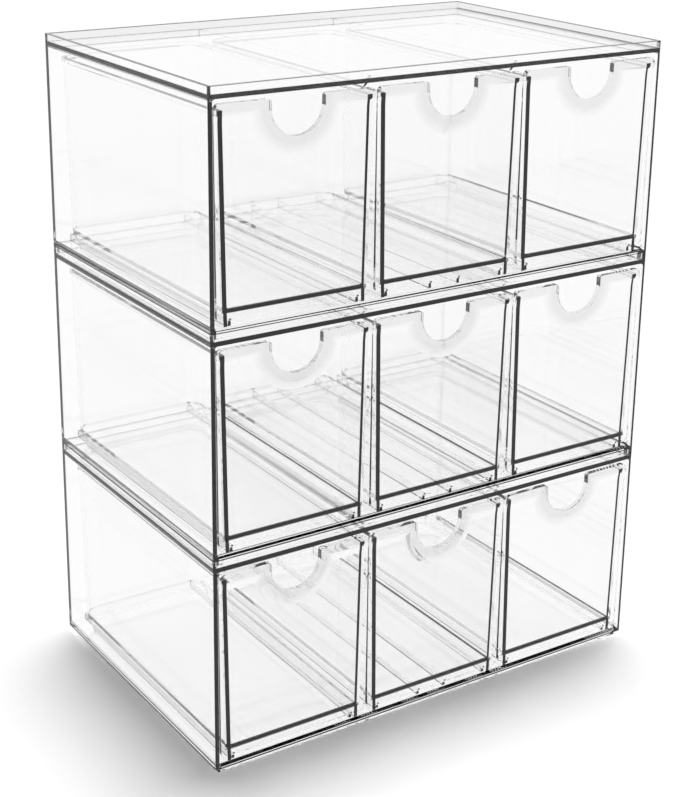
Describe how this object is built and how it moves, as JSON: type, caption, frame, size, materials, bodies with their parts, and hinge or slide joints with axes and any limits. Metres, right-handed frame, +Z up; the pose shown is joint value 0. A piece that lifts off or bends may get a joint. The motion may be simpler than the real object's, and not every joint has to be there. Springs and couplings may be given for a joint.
{
  "type": "stackable drawer box",
  "caption": "Clear stacking drawer tower: open-fronted housings with a rim and foot, each holding a row of tall sliding drawers with finger notches.",
  "frame": {"origin": "on the table, under the middle of the stack", "axes": "+X to the right seen from the front, +Y from the drawer fronts to the back, +Z up"},
  "size_m": [0.3, 0.196, 0.3872],
  "materials": {
    "clear_housing": "clear, polished, as moulded",
    "clear_drawer": "clear, polished, as moulded"
  },
  "bodies": {
    "housing_bottom": {"housing_bottom": "clear_housing"},
    "drawer_bottom_left": {"drawer_bottom_left": "clear_drawer"},
    "drawer_bottom_middle": {"drawer_bottom_middle": "clear_drawer"},
    "drawer_bottom_right": {"drawer_bottom_right": "clear_drawer"},
    "housing_middle": {"housing_middle": "clear_housing"},
    "drawer_middle_left": {"drawer_middle_left": "clear_drawer"},
    "drawer_middle_middle": {"drawer_middle_middle": "clear_drawer"},
    "drawer_middle_right": {"drawer_middle_right": "clear_drawer"},
    "housing_top": {"housing_top": "clear_housing"},
    "drawer_top_left": {"drawer_top_left": "clear_drawer"},
    "drawer_top_middle": {"drawer_top_middle": "clear_drawer"},
    "drawer_top_right": {"drawer_top_right": "clear_drawer"}
  },
  "joints": [
    {"name": "lift_middle_housing", "type": "slide", "parent": "housing_bottom", "child": "housing_middle", "axis": [0, 0, 1], "range_m": [0, 0.03]},
    {"name": "lift_top_housing", "type": "slide", "parent": "housing_middle", "child": "housing_top", "axis": [0, 0, 1], "range_m": [0, 0.03]},
    {"name": "pull_bottom_left", "type": "slide", "parent": "housing_bottom", "child": "drawer_bottom_left", "axis": [0, -1, 0], "range_m": [0, 0.16]},
    {"name": "pull_bottom_middle", "type": "slide", "parent": "housing_bottom", "child": "drawer_bottom_middle", "axis": [0, -1, 0], "range_m": [0, 0.16]},
    {"name": "pull_bottom_right", "type": "slide", "parent": "housing_bottom", "child": "drawer_bottom_right", "axis": [0, -1, 0], "range_m": [0, 0.16]},
    {"name": "pull_middle_left", "type": "slide", "parent": "housing_middle", "child": "drawer_middle_left", "axis": [0, -1, 0], "range_m": [0, 0.16]},
    {"name": "pull_middle_middle", "type": "slide", "parent": "housing_middle", "child": "drawer_middle_middle", "axis": [0, -1, 0], "range_m": [0, 0.16]},
    {"name": "pull_middle_right", "type": "slide", "parent": "housing_middle", "child": "drawer_middle_right", "axis": [0, -1, 0], "range_m": [0, 0.16]},
    {"name": "pull_top_left", "type": "slide", "parent": "housing_top", "child": "drawer_top_left", "axis": [0, -1, 0], "range_m": [0, 0.16]},
    {"name": "pull_top_middle", "type": "slide", "parent": "housing_top", "child": "drawer_top_middle", "axis": [0, -1, 0], "range_m": [0, 0.16]},
    {"name": "pull_top_right", "type": "slide", "parent": "housing_top", "child": "drawer_top_right", "axis": [0, -1, 0], "range_m": [0, 0.16]}
  ]
}
